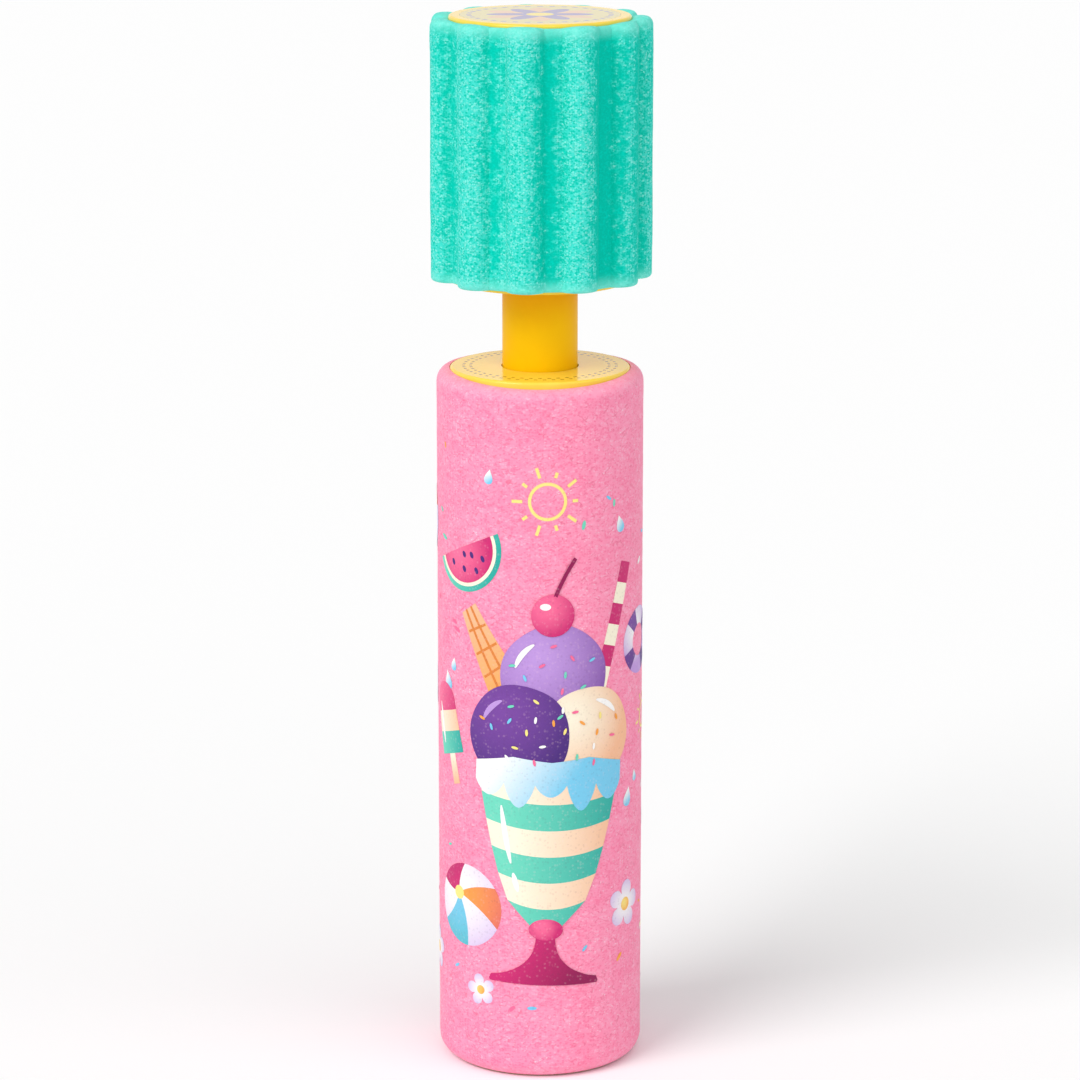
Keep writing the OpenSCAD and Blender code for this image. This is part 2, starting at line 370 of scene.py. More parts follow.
finishes = {"barrel_tube": milkyPlastic, "nozzle_cap": yellowGloss, "nozzle_cap_seal": sealRubber,
            "nozzle_insert": tealPlastic, "rear_cap": yellowPrinted,
            "piston_ring_front": sealRubber, "piston_ring_rear": sealRubber,
            "piston_head": milkyPlastic, "plunger_rod": yellowRod,
            "handle_bottom_cap": yellowGloss, "handle_tube": milkyPlastic,
            "handle_top_cap": yellowGloss, "handle_label": labelFilm}
for name, finish in finishes.items():
    cad[name].data.materials.clear()
    cad[name].data.materials.append(finish)
print("finishes: made")


# Shape helpers

sharpAngle = 45


def newPiece(name, verts, faces):
    mesh = bpy.data.meshes.new(name)
    mesh.from_pydata(verts, [], faces)
    mesh.update()
    piece = bpy.data.objects.new(name, mesh)
    bpy.context.scene.collection.objects.link(piece)
    return piece


def arc(x, y, radius, start, stop, count):  # angles in degrees
    angles = [math.radians(start + (stop - start) * k / count) for k in range(count + 1)]
    return [(x + radius * math.cos(angle), y + radius * math.sin(angle)) for angle in angles]


def divided(points, gap):  # a closed outline with no side longer than the gap
    outline = []
    for (x, y), (nextX, nextY) in zip(points, points[1:] + points[:1]):
        parts = max(1, math.ceil(math.dist((x, y), (nextX, nextY)) / gap))
        outline += [(x + (nextX - x) * k / parts, y + (nextY - y) * k / parts)
                    for k in range(parts)]
    return outline


def lathe(name, outline, steps):  # a closed outline of radii and heights, turned round Z
    count = len(outline)
    verts, faces = [], []
    for step in range(steps):
        angle = fullTurn * step / steps
        verts += [(r * mm * math.cos(angle), r * mm * math.sin(angle), z * mm) for r, z in outline]
        here, there = step * count, (step + 1) % steps * count
        faces += [(here + k, there + k, there + (k + 1) % count, here + (k + 1) % count)
                  for k in range(count)]
    return newPiece(name, verts, faces)


def newShapeTree(name, numbers):
    tree = bpy.data.node_groups.new(name, "GeometryNodeTree")
    tree.is_modifier = True
    face = tree.interface
    face.new_socket("Geometry", in_out="INPUT", socket_type="NodeSocketGeometry")
    for number in numbers:
        face.new_socket(number, in_out="INPUT", socket_type="NodeSocketFloat")
    face.new_socket("Material", in_out="INPUT", socket_type="NodeSocketMaterial")
    face.new_socket("Geometry", in_out="OUTPUT", socket_type="NodeSocketGeometry")
    book = Tree(tree)
    given = book.add("NodeGroupInput").socket.node
    return book, {socket.name: Wire(book, socket) for socket in given.outputs}


def endShapeTree(book, given, shape):
    whole = book.add("GeometryNodeRealizeInstances", {}, {"Geometry": shape})
    dressed = book.add("GeometryNodeSetMaterial", {},
                       {"Geometry": whole, "Material": given["Material"]})
    book.add("NodeGroupOutput", {}, {0: dressed})
    return book.data


def grow(piece, tree, values, thickness=0):  # runs the tree and keeps its result as a plain mesh
    modifier = piece.modifiers.new(tree.name, "NODES")
    modifier.node_group = tree
    for item in tree.interface.items_tree:
        if item.in_out == "INPUT" and item.name in values:
            modifier[item.identifier] = values[item.name]
    if thickness:
        skin = piece.modifiers.new("skin", "SOLIDIFY")
        skin.thickness = thickness
        skin.offset = 1
    graph = bpy.context.evaluated_depsgraph_get()
    mesh = bpy.data.meshes.new_from_object(piece.evaluated_get(graph),
                                           preserve_all_data_layers=True, depsgraph=graph)
    piece.modifiers.clear()
    piece.data = mesh
    mesh.shade_smooth()
    mesh.set_sharp_from_angle(angle=math.radians(sharpAngle))


# Foam sleeves

sleeveInputs = {  # each with its unit, and its value in a plain round sleeve
    "Flutes": (1.0, 1), "Flute Depth": (mm, 0.001), "Crest Radius": (mm, 0),
    "Outer Radius": (mm, 0), "Core Radius": (mm, 0), "Turn": (degree, 0), "Blend": (mm, 0),
    # the next seven inputs are painted light and shade: a turn that puts each lobe's flank away
    # from the light in shade, then a shaded side and a lit side
    "Worn Side": (degree, 0), "Clean Angle": (degree, 0), "Clean Spread": (degree, 90),
    "Clean Share": (1.0, 0), "Rubbed Angle": (degree, 0), "Rubbed Spread": (degree, 90),
    "Rubbed Share": (1.0, 0), "Bottom": (mm, 0), "Top": (mm, 0), "Edge Band": (mm, 0),
    "Uneven": (mm, 0), "Uneven Grain": (mm, 1), "Wavy": (mm, 0), "Wavy Grain": (mm, 1),
    "Meander": (degree, 0), "Top Puff": (mm, 0), "Bottom Puff": (mm, 0), "End Rise": (mm, 0),
    "End Tilt": (mm, 0), "End Saddle": (mm, 0), "End Band": (mm, 1)}
sleeveRim = {"free": 0.05, "lip": 0.9}  # the foam on the core stays, apart from a lip at the top


def newSleeveTree(rim):
    book, given = newShapeTree("foamSleeve", sleeveInputs)
    outer, core, curve = given["Outer Radius"], given["Core Radius"], given["Crest Radius"]
    valley = outer - given["Flute Depth"]
    place = book.add("GeometryNodeInputPosition")
    x, y, z = book.axes(place)
    reach, around = book.polar(x, y)
    pitch = fullTurn / given["Flutes"]

    def offCrest(angle):  # a point's angle from the nearest crest
        lobe = (angle - given["Turn"]) / pitch
        return (lobe - book.maths("ROUND", lobe)) * pitch

    def sideShare(name):  # most at one angle, less to either side
        away = (around - given[name + " Angle"]) / given[name + " Spread"]
        return given[name + " Share"] * book.maths("EXPONENT", away * away * -1)

    # the lobes' cross section, with valleys that don't run quite straight
    drift = book.ripple(place, given["Wavy Grain"])
    meander = drift * given["Meander"]
    swing = offCrest(around + meander)
    side = (outer - curve) * book.maths("SINE", swing)
    rise = book.maths("SQRT", book.maths("MAXIMUM", curve * curve - side * side, 0.0))
    outside = (outer - curve) * book.maths("COSINE", swing) + rise
    outside = book.maths("SMOOTH_MAX", outside, valley, given["Blend"])
    past = book.maths("MAXIMUM", reach - core, 0.0)  # how far a point lies outside the core
    share = past / (outer - core)
    uneven = book.ripple(place, given["Uneven Grain"]) * given["Uneven"] + drift * given["Wavy"]
    newReach = reach - past + share * (outside - core + uneven)

    # painted light and shade: 1 on a crest, 0 in a shaded valley, more on the side lit by the key
    # lamp and less on the side away from it, with each lobe's flank away from the light in shade
    fromCrest = book.maths("ABSOLUTE", offCrest(around + meander + given["Worn Side"]))
    crest = 1 - fromCrest / pitch * 2 + sideShare("Rubbed") - sideShare("Clean")
    belowTop = given["Top"] - z
    nearTop = book.fade(belowTop, 0.0, given["Edge Band"])
    nearBottom = book.fade(z - given["Bottom"], 0.0, given["Edge Band"])

    # the cut ends: lobes that swell halfway out, and a top that isn't quite level
    swell = (outside - valley) / given["Flute Depth"] * share * (1 - share) * 4
    puff = swell * (nearTop * given["Top Puff"] - nearBottom * given["Bottom Puff"])
    cosine, sine = x / reach, y / reach
    saddle = given["End Saddle"] * (cosine * cosine - sine * sine)
    lifted = given["End Rise"] + (given["End Tilt"] * sine + saddle)
    free = book.maths("MAXIMUM", book.ease(share, 0.0, rim["free"]),
                      book.fade(belowTop, 0.0, rim["lip"] * mm))
    newZ = z + lifted * book.fade(belowTop, 0.0, given["End Band"]) * free + puff
    spot = book.add("ShaderNodeCombineXYZ", {},
                    {0: cosine * newReach, 1: sine * newReach, 2: newZ})
    shape = book.add("GeometryNodeSetPosition", {},
                     {"Geometry": given["Geometry"], "Position": spot})
    for name, value in (("crest", crest), ("edge", nearTop + nearBottom)):
        shape = book.add("GeometryNodeStoreNamedAttribute",
                         {"data_type": "FLOAT", "domain": "POINT"},
                         {"Geometry": shape, "Name": name, "Value": value})
    return endShapeTree(book, given, shape)


sleeveTree = newSleeveTree(sleeveRim)


def growSleeve(piece, look, finish, **sizes):  # a look's fluteDepth is the input Flute Depth
    sizes = {**look, **sizes}
    values = {"Material": finish}
    for name, (unit, usual) in sleeveInputs.items():
        key = name[0].lower() + name[1:].replace(" ", "")
        values[name] = sizes.get(key, usual) * unit
    grow(piece, sleeveTree, values)


barrelLook = {"bore": 20.05, "seat": 24.05, "rear": 189.5, "noseRound": 5, "noseSteps": 9,
              "rearRound": 3.5, "rearTurn": 89, "rearSteps": 8, "nosePocket": 2.45,
              "rearPocket": 188.55, "hair": 1e-6, "edgeBand": 4, "gap": 1.0, "steps": 200,
              "uneven": 0.07, "unevenGrain": 3.2, "endRise": 0.7, "endTilt": 0.6,
              "endSaddle": 0.45, "endBand": 25}


def makeBarrelFoam(look):
    low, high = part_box("barrel_foam")
    outer = (high[0] - low[0]) / 2 / mm
    bore, seat, nose, rear = look["bore"], look["seat"], look["noseRound"], look["rearRound"]
    lip = -math.degrees(math.acos((seat - outer + nose) / nose))  # where it meets the cap
    outline = [(bore, look["nosePocket"]), (seat, look["nosePocket"])]
    outline += arc(outer - nose, nose, nose, lip, 0, look["noseSteps"])
    outline += arc(outer - rear, look["rear"] - rear, rear, 0, look["rearTurn"], look["rearSteps"])
    outline += [(seat, look["rearPocket"]), (bore, look["rearPocket"])]
    piece = lathe("barrelFoam", divided(outline, look["gap"]), look["steps"])
    crest = outer - look["hair"]  # a round sleeve is one crest, a hair smaller than the sleeve
    growSleeve(piece, look, pinkFoam, outerRadius=outer, crestRadius=crest, coreRadius=seat,
               bottom=0, top=look["rear"])
    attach(piece, "barrel")
    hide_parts("barrel_foam")
    return outer


barrelRadius = makeBarrelFoam(barrelLook)

gripLook = {"bore": 20.05, "seat": 24.05, "topRound": 1.5, "bottomRound": 1.1, "roundSteps": 6,
            "topPocket": 281.55, "bottomPocket": 216.45, "outerRadius": 29.6, "flutes": 11,
            # the side shift at the end of the next line and the angles, spreads and shares after
            # it set the painted light and shade on the lobes
            "fluteDepth": 3.8, "crestRadius": 5.0, "turn": -0.5, "blend": 0.7, "wornSide": 3.2,
            "cleanAngle": -34, "cleanSpread": 28, "cleanShare": 0.42, "rubbedAngle": -138,
            "rubbedSpread": 29, "rubbedShare": 0.34, "edgeBand": 4, "gap": 0.8, "steps": 308,
            "uneven": 0.06, "unevenGrain": 2.6, "wavy": 0.2, "wavyGrain": 16, "meander": 0.9,
            "topPuff": 0.7, "bottomPuff": 0.15}


def makeGripFoam(look):
    low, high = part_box("handle_foam")
    bottom, top = low[2] / mm, high[2] / mm
    bore, seat, outer, steps = look["bore"], look["seat"], look["outerRadius"], look["roundSteps"]
    foot, head = look["bottomRound"], look["topRound"]
    outline = [(bore, look["bottomPocket"]), (seat, look["bottomPocket"]), (seat, bottom)]
    outline += arc(outer - foot, bottom + foot, foot, -90, 0, steps)
    outline += arc(outer - head, top - head, head, 0, 90, steps)
    outline += [(seat, top), (seat, look["topPocket"]), (bore, look["topPocket"])]
    piece = lathe("gripFoam", divided(outline, look["gap"]), look["steps"])
    growSleeve(piece, look, tealFoam, coreRadius=seat, bottom=bottom, top=top)
    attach(piece, "plunger")
    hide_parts("handle_foam")


makeGripFoam(gripLook)
print("foam: made")


# Printed design, drawn flat as distance round the barrel and height, both in millimetres

inks = {"violet": linear(74, 44, 122), "plum": linear(122, 72, 160),
        "magenta": linear(206, 44, 114), "berry": linear(146, 28, 84),
        "rose": linear(250, 112, 156), "peach": linear(248, 190, 152),
        "cream": linear(252, 243, 220), "mint": linear(112, 216, 190),
        "sea": linear(40, 170, 160), "sky": linear(122, 204, 238),
        "lavender": linear(192, 152, 222), "lemon": linear(252, 232, 136),
        "orange": linear(250, 164, 70), "caramel": linear(222, 132, 62),
        "white": linear(252, 250, 248)}
drawing = {"verts": [], "faces": [], "inks": [], "layer": 0}
pen = {"step": 1.3, "lane": 1.5,  # the longest a face may be along a line, and across it
       "tip": 0.02, "body": 0.96,  # a thinned line is half a wave that starts and ends here
       "glowPower": 1.5, "merge": 1e-5}


def between(first, second, share):
    return [a + (b - a) * share for a, b in zip(inks[first], inks[second])]


def plain(name):
    return lambda point: inks[name]


def shaded(first, second, start, stop):  # an ink that runs from one colour to another
    start = Vector(start)
    run = Vector(stop) - start

    def ink(point):
        share = (Vector(point) - start).dot(run) / run.length_squared
        return between(first, second, min(1, max(0, share)))

    return ink


def glowing(first, second, middle, radius):  # an ink that runs outwards from a middle
    def ink(point):
        share = min(1, math.dist(point, middle) / radius) ** pen["glowPower"]
        return between(first, second, share)

    return ink


def moved(points, spot):  # spot is (distance round, height, size, turn in degrees)
    turn = Matrix.Rotation(math.radians(spot[3]), 2) * spot[2]
    return [tuple(turn @ Vector(point) + Vector(spot[:2])) for point in points]


def layer(number):  # a higher layer lies over a lower one
    drawing["layer"] = number


def lay(points, faces, tints):
    base = len(drawing["verts"])
    lift = drawing["layer"]
    drawing["verts"] += [(s, lift, h) for s, h in points]
    drawing["faces"] += [tuple(base + k for k in face) for face in faces]
    drawing["inks"] += tints


def inside(point, outline):
    x, y = point
    crossings = 0
    for (ax, ay), (bx, by) in zip(outline, outline[1:] + outline[:1]):
        if (ay > y) != (by > y) and x < (bx - ax) * (y - ay) / (by - ay) + ax:
            crossings += 1
    return crossings % 2


def fill(points, ink, spot):  # one flat patch, its ink worked out before it is moved
    net = pen["step"] / spot[2]
    outline = divided(points, net)
    left, right = min(p[0] for p in outline), max(p[0] for p in outline)
    low, high = min(p[1] for p in outline), max(p[1] for p in outline)
    grid = [(left + net * (i + 0.5 * (j % 2)), low + net * j)
            for i in range(1, int((right - left) / net) + 1)
            for j in range(1, int((high - low) / net) + 1)]
    grid = [p for p in grid
            if inside(p, outline) and min(math.dist(p, q) for q in outline) > 0.5 * net]
    flat = [Vector(p) for p in outline + grid]
    rim = list(range(len(outline)))
    patch = delaunay_2d_cdt(flat, [], [rim], 1, pen["merge"])  # 1 keeps what is inside the rim
    verts = [tuple(v) for v in patch[0]]
    lay(moved(verts, spot), patch[2], [ink(v) for v in verts])


def line(points, width, ink, spot, closed=False, thinned=False):  # a band along a path
    path = [Vector(points[0])]
    for here, ahead in zip(points, points[1:]):  # short steps, so that it bends with the barrel
        parts = max(1, math.ceil(math.dist(here, ahead) * spot[2] / pen["step"]))
        path += [Vector(here).lerp(Vector(ahead), (k + 1) / parts) for k in range(parts)]
    count = len(path)
    rows = max(1, math.ceil(width * spot[2] / pen["lane"]))
    lanes = [[] for row in range(rows + 1)]
    for k, here in enumerate(path):
        back = path[k - 1] if closed or k else here
        ahead = path[(k + 1) % count] if closed or k < count - 1 else here
        full = 1
        if thinned:
            full = math.sqrt(math.sin(math.pi * (pen["tip"] + pen["body"] * k / (count - 1))))
        across = (ahead - back).normalized().orthogonal() * width * full / 2
        for row, lane in enumerate(lanes):
            lane.append(tuple(here + across * (1 - 2 * row / rows)))
    links = count if closed else count - 1
    faces = []
    for row in range(rows):
        here, there = row * count, (row + 1) * count
        faces += [(there + k, there + (k + 1) % count, here + (k + 1) % count, here + k)
                  for k in range(links)]
    flat = [point for lane in lanes for point in lane]
    lay(moved(flat, spot), faces, [ink(point) for point in flat])


def oval(x, y, wide, tall=None, count=36):
    tall = wide if tall is None else tall
    angles = [fullTurn * k / count for k in range(count)]
    return [(x + wide * math.cos(a), y + tall * math.sin(a)) for a in angles]


def scoop(x, y, radius, count=72):  # a ball of ice cream, not quite round
    angles = [fullTurn * k / count for k in range(count)]
    reaches = [radius * (1 + 0.012 * math.sin(5 * a + x)) for a in angles]
    return [(x + r * math.cos(a), y + r * math.sin(a)) for a, r in zip(angles, reaches)]


def makeSundae(spot):
    stem, bowl, stripes, sag = 14, 38, 6, 1.8
    strawWidth, pressWidth, shineWidth, stalkWidth = 3.6, 0.6, 1.3, 0.9

    def level(y):  # across the glass at one height
        wide = 3.2 + 14.8 * math.sqrt(max(0, (y - stem) / bowl))
        return [(wide * t / 8, y - sag * (1 - (t / 8) ** 2)) for t in range(-8, 9)]

    layer(0)
    straw = [(9 + 10 * t / 8 - 0.2, 62 + 38 * t / 8) for t in range(9)]
    for k in range(8):
        line(straw[k:k + 2], strawWidth, plain("magenta" if k % 2 else "cream"), spot)
    wafer = [(-12, 62), (-5, 70), (-20, 90), (-24, 87)]
    fill(wafer, shaded("orange", "peach", (-8, 66), (-22, 90)), spot)
    layer(1)
    for k in range(4):  # lines pressed in the wafer
        t = 0.2 + 0.2 * k
        ends = [(-12 - 12 * t, 62 + 25 * t + 1), (-5 - 15 * t, 70 + 20 * t - 0.5)]
        line(ends, pressWidth, plain("caramel"), spot)
    for t in (0.33, 0.67):
        ends = [(-12 + 7 * t, 62 + 8 * t), (-24 + 4 * t, 87 + 3 * t)]
        line(ends, pressWidth, plain("caramel"), spot)
    layer(2)
    fill(scoop(0, 74, 12.8), glowing("lavender", "plum", (-4, 79), 20), spot)
    layer(3)
    fill(scoop(8.8, 60, 11.8), glowing("cream", "peach", (4, 65), 15), spot)
    layer(4)
    fill(scoop(-8.2, 60, 12.2), glowing("plum", "violet", (-12, 66), 17), spot)
    layer(5)
    foot = [(13, 0), (13.3, 0.5), (13, 1.2)]
    foot += [(2.2 + 10.6 * (1 - t / 12) ** 2.6, 1.6 + 11.4 * (t / 12) ** 1.3) for t in range(13)]
    foot += [(-x, y) for x, y in foot[::-1]]
    fill(foot, shaded("berry", "magenta", (6, 0), (-6, 8)), spot)
    edges = [stem + bowl * (k / stripes) for k in range(stripes + 1)]
    glass = (shaded("mint", "sea", (-10, 30), (18, 30)),
             shaded("cream", "peach", (-8, 30), (17, 30)))
    for k in range(stripes):
        fill(level(edges[k]) + level(edges[k + 1])[::-1], glass[k % 2], spot)
    layer(6)
    fill(oval(0, 13.6, 4, 2.6), glowing("rose", "magenta", (-1, 14.4), 4), spot)
    froth = []
    for k, fall in enumerate((3.4, 5.6, 2.8, 6.2, 4.2)):  # scalloped lower edge
        froth += [(-18.4 + 7.36 * (k + t / 12), 48.5 - fall * math.sin(math.pi * t / 12) ** 0.8)
                  for t in range(12)]
    froth += [(18.4, 48.5), (18.4, 53), (9, 55), (0, 54), (-9, 55), (-18.4, 53)]
    fill(froth, shaded("white", "sky", (-12, 56), (2, 46)), spot)
    for start, stop in ((0, 5.5), (6.4, 8.2)):  # shine on the glass
        steps = [start + (stop - start) * k / 12 for k in range(13)]
        shine = [(-11.5 + 0.62 * t - 0.25 * t * (1 - t / 10), 43 - 2.5 * t) for t in steps]
        line(shine, shineWidth, plain("white"), spot, thinned=True)
    for x, y, radius, start, name in ((-8.2, 60, 9, 116, "lavender"), (8.8, 60, 8.7, 36, "white"),
                                      (0, 74, 9.5, 122, "white")):  # light on the scoops
        shine = arc(x, y, radius, start, start + 44, 14)
        line(shine, shineWidth, plain(name), spot, thinned=True)
    layer(7)
    fill(oval(-1, 89, 5), glowing("rose", "magenta", (-2.6, 91), 7), spot)  # cherry
    stalk = [(-0.6 + 3.2 * t / 8 + 1.2 * (t / 8) ** 2, 93.4 + 9 * t / 8) for t in range(9)]
    line(stalk, stalkWidth, plain("berry"), spot)
    layer(8)
    fill(oval(-2.8, 91, 1.3, 0.8, 14), plain("white"), spot)  # its light


def makeBall(spot):
    pole, radius, offset, bulge = Vector((-2.5, 3.5)), 12, 0.4, 0.16
    panels = (("white", "lavender"), ("magenta", "berry"), ("white", "lavender"),
              ("sky", "sea"), ("white", "lavender"), ("orange", "magenta"))
    starts = [fullTurn * k / len(panels) + offset for k in range(len(panels) + 1)]

    def seam(angle):
        rim = Vector((radius * math.cos(angle), radius * math.sin(angle)))
        bend = (pole + rim) / 2 + (rim - pole).orthogonal() * bulge
        return [tuple(pole * (1 - t) ** 2 + bend * 2 * t * (1 - t) + rim * t * t)
                for t in (j / 8 for j in range(9))]

    layer(0)
    for (light, dark), start, stop in zip(panels, starts, starts[1:]):
        rim = arc(0, 0, radius, math.degrees(start), math.degrees(stop), 10)
        fill(seam(start) + rim[1:-1] + seam(stop)[:0:-1], glowing(light, dark, (-3, 4), 24), spot)
    layer(1)
    fill(oval(pole.x, pole.y, 2, count=18), plain("lemon"), spot)


def makeMelon(spot):
    layer(0)
    fill(arc(0, 0, 13.5, 180, 360, 26), shaded("mint", "sea", (-8, 0), (6, -13)), spot)
    layer(1)
    fill(arc(0, 0, 11.9, 180, 360, 24), plain("cream"), spot)
    layer(2)
    fill(arc(0, 0, 10.8, 180, 360, 24), glowing("rose", "magenta", (-3, -1), 12), spot)
    layer(3)
    for x, y in ((-6.4, -3), (-2.4, -6.2), (2.2, -3.2), (5.6, -5.4), (-0.6, -2.2), (2, -8)):
        fill(oval(x, y, 0.65, 1.05, 12), plain("violet"), spot)  # pips


def makeLolly(spot):
    half, first, second = 7, 8, 15.5
    layer(0)
    stick = [(-1.8, -11), (1.8, -11), (1.8, 2), (-1.8, 2)]
    fill(stick, shaded("cream", "peach", (0, 0), (0, -10)), spot)
    layer(1)
    for light, dark, low, high in (("mint", "sea", 0, first), ("cream", "peach", first, second)):
        band = [(-half, low), (half, low), (half, high), (-half, high)]
        fill(band, shaded(light, dark, (-6, 8), (8, 6)), spot)
    top = [(-half, second), (half, second)] + arc(0, 19, half, 0, 180, 20)
    fill(top, shaded("rose", "magenta", (-6, 22), (8, 14)), spot)
    layer(2)
    shine = [(-4.2, 4 + 15 * t / 12) for t in range(13)]
    line(shine, 1.6, plain("white"), spot, thinned=True)


def makeRing(spot):
    radius, width, bands = 8, 5.6, 4
    layer(0)
    ring = oval(0, 0, radius, count=48)
    line(ring, width, glowing("white", "lavender", (-3, 4), 11), spot, closed=True)
    layer(1)
    for k in range(bands):
        band = arc(0, 0, radius, 90 * k + 18, 90 * k + 52, 8)
        line(band, width, shaded("plum", "violet", (-8, 8), (8, -8)), spot)


def makeFlower(spot):
    petals, reach, count = 5, 7.5, 60
    outline = []
    for k in range(count):
        a = fullTurn * k / count
        r = reach * (0.5 + 0.5 * abs(math.cos(a * petals / 2)) ** 0.6)
        outline.append((r * math.cos(a), r * math.sin(a)))
    layer(0)
    fill(outline, glowing("white", "lavender", (0, 0), 10), spot)
    layer(1)
    fill(oval(0, 0, 2.1, count=18), glowing("lemon", "orange", (-0.5, 0.5), 3), spot)


def makeSun(spot):
    rays, width = 10, 0.9
    layer(0)
    line(oval(0, 0, 5), width, plain("lemon"), spot, closed=True)
    for k in range(rays):
        a = fullTurn * k / rays
        ray = [(r * math.cos(a), r * math.sin(a)) for r in (7, 10 if k % 2 else 8.6)]
        line(ray, width, plain("lemon"), spot)


def makeDrop(spot):
    angles = [fullTurn * k / 28 for k in range(28)]
    drop = [(3 * math.sin(a) * math.sin(a / 2) ** 1.4, 3.4 * math.cos(a)) for a in angles]
    layer(0)
    fill(drop[::-1], shaded("white", "sky", (-1.5, 1), (1, -2)), spot)


sundaeSpots = ((1, 27, 1.15, -2), (-80, 40, 0.9, 5))
motifs = (
    (makeSundae, sundaeSpots),
    (makeBall, ((-22, 47, 0.95, 10), (58, 140, 1.05, -20), (-48, 150, 0.8, 60))),
    (makeMelon, ((-22.5, 146, 0.9, 24), (76, 62, 1.0, -24))),
    (makeLolly, ((-28, 88, 0.75, 16), (50, 62, 0.95, -14), (-56, 60, 0.9, -10))),
    (makeRing, ((35, 118, 0.85, 0), (-52, 104, 0.9, 30))),
    (makeFlower, ((27, 46, 0.9, 8), (-17, 24, 0.6, 30), (66, 100, 0.95, 0), (-40, 30, 0.8, 20))),
    (makeSun, ((2, 160, 0.95, 0), (40, 96, 0.7, 10), (84, 150, 0.9, 0))),
    (makeDrop, ((-30, 108, 0.8, 12), (-27, 113, 0.55, -8), (28, 76, 0.8, -14), (32, 81, 0.5, 6),
                (-14, 166, 0.6, -10), (24, 152, 0.7, 14), (60, 28, 0.8, 0), (-62, 128, 0.8, 10))))
for makeMotif, spots in motifs:
    for spot in spots:
        makeMotif(spot)
print("print: drawn", len(drawing["faces"]), "faces")


# The print's place on the barrel, and sprinkles strewn on it

def newWrapTree():
    book, given = newShapeTree("wrapPrint", ("Radius", "Uneven", "Uneven Grain"))
    x, y, z = book.axes(book.add("GeometryNodeInputPosition"))
    radius = given["Radius"]
    angle = x / radius
    out, across = book.maths("COSINE", angle) * -1, book.maths("SINE", angle)
    base = book.add("ShaderNodeCombineXYZ", {}, {0: across * radius, 1: out * radius, 2: z})
    uneven = book.ripple(base, given["Uneven Grain"]) * given["Uneven"]
    reach = radius + y + uneven  # a point's depth is its lift off the foam
    spot = book.add("ShaderNodeCombineXYZ", {}, {0: across * reach, 1: out * reach, 2: z})
    shape = book.add("GeometryNodeSetPosition", {},
                     {"Geometry": given["Geometry"], "Position": spot})
    return endShapeTree(book, given, shape)


def newSprinkleTree():
    book, given = newShapeTree("sprinkles", ("Length", "Width"))
    disc = book.add("GeometryNodeMeshCircle", {"fill_type": "NGON"},
                    {"Vertices": 12, "Radius": 0.5})
    size = book.add("ShaderNodeCombineXYZ", {}, {0: given["Length"], 1: given["Width"], 2: 1.0})
    flat = book.add("GeometryNodeTransform", {}, {"Geometry": disc, "Scale": size})
    upright = book.add("GeometryNodeTransform", {},
                       {"Geometry": flat, "Rotation": (math.pi / 2, 0, 0)})
    turn, grade = (book.add("GeometryNodeInputNamedAttribute", {"data_type": "FLOAT"},
                            {"Name": name}) for name in ("turn", "grade"))
    around = book.add("ShaderNodeCombineXYZ", {}, {0: 0.0, 1: turn, 2: 0.0})
    strewn = book.add("GeometryNodeInstanceOnPoints", {},
                      {"Points": given["Geometry"], "Instance": upright,
                       "Rotation": around, "Scale": grade})
    return endShapeTree(book, given, strewn)


wrapTree, sprinkleTree = newWrapTree(), newSprinkleTree()

printLook = {"lift": 0.05, "layer": 0.03, "film": 0.02}
sprinkleLook = {"seed": 11, "length": 2.4, "width": 0.95, "goldenAngle": 2.4, "jitter": 0.3,
                "scoops": (((0, 75), 11), ((8.8, 61), 9.5), ((-8.2, 61), 10)), "perScoop": 11,
                "squat": 0.8, "scoopLayer": 9, "scoopGrade": 0.8, "confetti": 110, "halfRound": 86,
                "heights": (16, 172), "clear": 4, "every": 5, "leastGrade": 0.7, "moreGrade": 0.5,
                "inks": ("white", "lemon", "mint", "rose", "sky", "orange")}


def layFlat(name, points, faces):  # points are (distance round, layer, height)
    verts = [(s * mm, (printLook["lift"] + printLook["layer"] * lift) * mm, h * mm)
             for s, lift, h in points]
    return newPiece(name, verts, faces)


def giveInk(piece, tints):
    colours = piece.data.color_attributes.new("ink", "FLOAT_COLOR", "POINT")
    colours.data.foreach_set("color", [part for tint in tints for part in tint])


def giveNumbers(piece, name, numbers):
    piece.data.attributes.new(name, "FLOAT", "POINT").data.foreach_set("value", numbers)


def wrapPrint(piece):
    grow(piece, wrapTree, {"Radius": barrelRadius * mm, "Uneven": barrelLook["uneven"] * mm,
                           "Uneven Grain": barrelLook["unevenGrain"] * mm, "Material": foamInk},
         printLook["film"] * mm)
    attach(piece, "barrel")


def makePrint():
    piece = layFlat("barrelPrint", drawing["verts"], drawing["faces"])
    giveInk(piece, drawing["inks"])
    wrapPrint(piece)


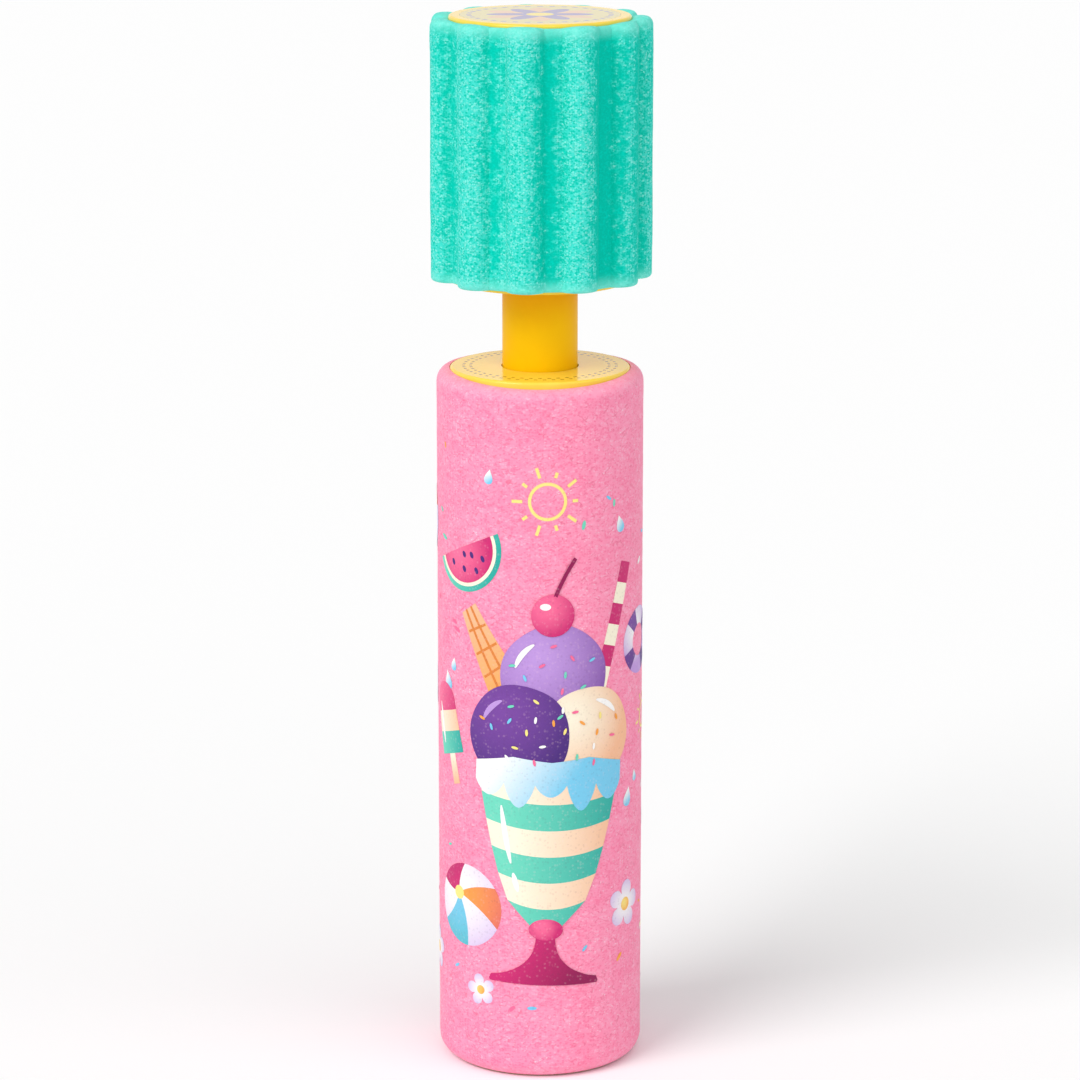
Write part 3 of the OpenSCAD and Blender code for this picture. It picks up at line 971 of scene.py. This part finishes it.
def makeSprinkles(look):
    chance = random.Random(look["seed"])
    points, grades = [], []
    for spot in sundaeSpots:
        for (x, y), radius in look["scoops"]:
            for k in range(look["perScoop"]):  # evenly, each a golden angle on from the last
                a = look["goldenAngle"] * k + chance.uniform(-look["jitter"], look["jitter"])
                r = radius * math.sqrt((k + 0.5) / look["perScoop"])
                s, h = moved([(x + r * math.cos(a), y + r * math.sin(a) * look["squat"])], spot)[0]
                points.append((s, look["scoopLayer"], h))
                grades.append(look["scoopGrade"])
    taken = [Vector((s, h)) for s, lift, h in drawing["verts"][::look["every"]]]
    for attempt in range(look["confetti"]):  # between the motifs
        s = chance.uniform(-look["halfRound"], look["halfRound"])
        h = chance.uniform(*look["heights"])
        if min((Vector((s, h)) - point).length for point in taken) > look["clear"]:
            points.append((s, 0, h))
            grades.append(look["leastGrade"] + look["moreGrade"] * chance.random())
    piece = layFlat("barrelSprinkles", points, [])
    giveNumbers(piece, "turn", [chance.uniform(0, math.pi) for point in points])
    giveNumbers(piece, "grade", grades)
    giveInk(piece, [inks[chance.choice(look["inks"])] for point in points])
    grow(piece, sprinkleTree, {"Length": look["length"] * mm, "Width": look["width"] * mm,
                               "Material": foamInk})
    wrapPrint(piece)


makePrint()
makeSprinkles(sprinkleLook)
print("print: wrapped")


# Stage, light and camera

studioLook = {"floor": linear(253, 253, 253), "floorSize": 8.0, "grain": 4, "rough": 0.8,
              "graining": 0.1, "ambient": 0.5}


def makeStudio(look):
    half = look["floorSize"] / 2
    corners = [(-half, -half, 0), (half, -half, 0), (half, half, 0), (-half, half, 0)]
    floor = newPiece("floor", corners, [(0, 1, 2, 3)])
    material, tree, place = newFinish("floorPaper")
    grain = tree.noise(place, look["grain"] * mm)
    setFinish(tree, {"Base Color": look["floor"], "Specular IOR Level": 0.0,
                     "Roughness": look["rough"] + grain * look["graining"]})
    floor.data.materials.append(material)
    world = bpy.data.worlds.new("studio")
    bpy.context.scene.world = world
    world.use_nodes = True
    world.node_tree.nodes.clear()
    tree = Tree(world.node_tree)
    path = tree.add("ShaderNodeLightPath").socket.node
    camera, glossy, clear = (Wire(tree, path.outputs[name]) for name in
                             ("Is Camera Ray", "Is Glossy Ray", "Is Transmission Ray"))
    seen = tree.maths("MAXIMUM", tree.maths("MAXIMUM", camera, glossy), clear)
    strength = look["ambient"] + seen * (1 - look["ambient"])  # white where it is seen
    light = tree.add("ShaderNodeBackground", {},
                     {"Strength": strength, "Color": (1.0, 1.0, 1.0, 1.0)})
    tree.add("ShaderNodeOutputWorld", {}, {"Surface": light})


lampLooks = {"key": {"strength": 1.65, "spread": 35, "azimuth": -46, "rise": 42},
             "fill": {"strength": 0.65, "spread": 60, "azimuth": 35, "rise": 48}}


def makeLamp(name, look):  # azimuth from the camera's side, to the right
    lamp = bpy.data.lights.new(name, "SUN")
    lamp.energy = look["strength"]
    lamp.angle = math.radians(look["spread"])
    light = bpy.data.objects.new(name, lamp)
    bpy.context.scene.collection.objects.link(light)
    light.rotation_euler = (math.radians(90 - look["rise"]), 0, math.radians(look["azimuth"]))


cameraLook = {"distance": 1100, "height": 406.6, "pitch": 13.465, "lens": 140.6, "sensor": 36,
              "far": 20}


def makeCamera(look):
    lens = bpy.data.cameras.new("camera")
    lens.lens = look["lens"]
    lens.sensor_width = look["sensor"]
    lens.clip_end = look["far"]
    camera = bpy.data.objects.new("camera", lens)
    bpy.context.scene.collection.objects.link(camera)
    camera.location = (0, -look["distance"] * mm, look["height"] * mm)
    camera.rotation_euler = (math.radians(90 - look["pitch"]), 0, 0)
    bpy.context.scene.camera = camera


makeStudio(studioLook)
for name, look in lampLooks.items():
    makeLamp(name, look)
makeCamera(cameraLook)
bpy.context.scene.view_settings.view_transform = "Standard"
print("studio: made")
